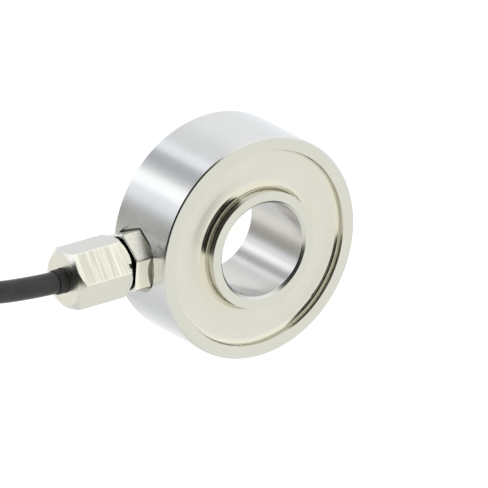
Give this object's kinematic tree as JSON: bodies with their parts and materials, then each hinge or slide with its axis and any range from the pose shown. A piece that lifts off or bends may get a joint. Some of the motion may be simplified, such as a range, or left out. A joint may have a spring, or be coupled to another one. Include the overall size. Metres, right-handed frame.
{
  "type": "ring force sensor",
  "caption": "Through-hole load cell: turned steel ring with a raised load hub, recessed face, side cable gland and black cable.",
  "frame": {"origin": "centre of the foot ring's contact plane, on the bore's axis", "axes": "+Z along the bore, from the foot towards the load hub; the cable leaves towards -X"},
  "size_m": [0.1755, 0.0805, 0.021],
  "materials": {
    "turned_stainless": "fine turned stainless steel",
    "nickel_plating": "nickel-plated brass",
    "washer_steel": "zinc-plated steel",
    "black_rubber": "moulded rubber",
    "cable_jacket": "smooth black cable jacket",
    "potting": "sealing compound",
    "gauge_foil": "polyimide foil gauge",
    "tinned_copper": "tinned copper",
    "circuit_board": "solder mask",
    "resistor_body": "ceramic chip",
    "red_insulation": "core insulation",
    "black_insulation": "core insulation",
    "green_insulation": "core insulation",
    "white_insulation": "core insulation",
    "tie_strap": "nylon strap"
  },
  "bodies": {
    "root": {"adapter_o_ring": "black_rubber", "black_core": "black_insulation", "black_core_tail": "black_insulation", "black_core_tip": "tinned_copper", "bottom_cover": "turned_stainless", "cable_coil": "cable_jacket", "cable_in_gland": "cable_jacket", "cable_lead": "cable_jacket", "cable_tail": "cable_jacket", "circuit_board": "circuit_board", "coil_tie": "tie_strap", "drain_wire_tail": "tinned_copper", "gauge_wires_1": "tinned_copper", "gauge_wires_2": "tinned_copper", "gauge_wires_3": "tinned_copper", "gauge_wires_4": "tinned_copper", "gauge_wires_5": "tinned_copper", "gauge_wires_6": "tinned_copper", "gauge_wires_7": "tinned_copper", "gauge_wires_8": "tinned_copper", "gland_adapter": "nickel_plating", "gland_nut": "nickel_plating", "green_core": "green_insulation", "green_core_tail": "green_insulation", "green_core_tip": "tinned_copper", "potting_ring": "potting", "red_core": "red_insulation", "red_core_tail": "red_insulation", "red_core_tip": "tinned_copper", "sealing_bush": "black_rubber", "sensor_body": "turned_stainless", "solder_pads": "tinned_copper", "strain_gauge_1": "gauge_foil", "strain_gauge_2": "gauge_foil", "strain_gauge_3": "gauge_foil", "strain_gauge_4": "gauge_foil", "strain_gauge_5": "gauge_foil", "strain_gauge_6": "gauge_foil", "strain_gauge_7": "gauge_foil", "strain_gauge_8": "gauge_foil", "thrust_washer": "washer_steel", "trim_resistor_1": "resistor_body", "trim_resistor_2": "resistor_body", "trim_resistor_3": "resistor_body", "trim_resistor_4": "resistor_body", "white_core": "white_insulation", "white_core_tail": "white_insulation", "white_core_tip": "tinned_copper"}
  },
  "joints": []
}
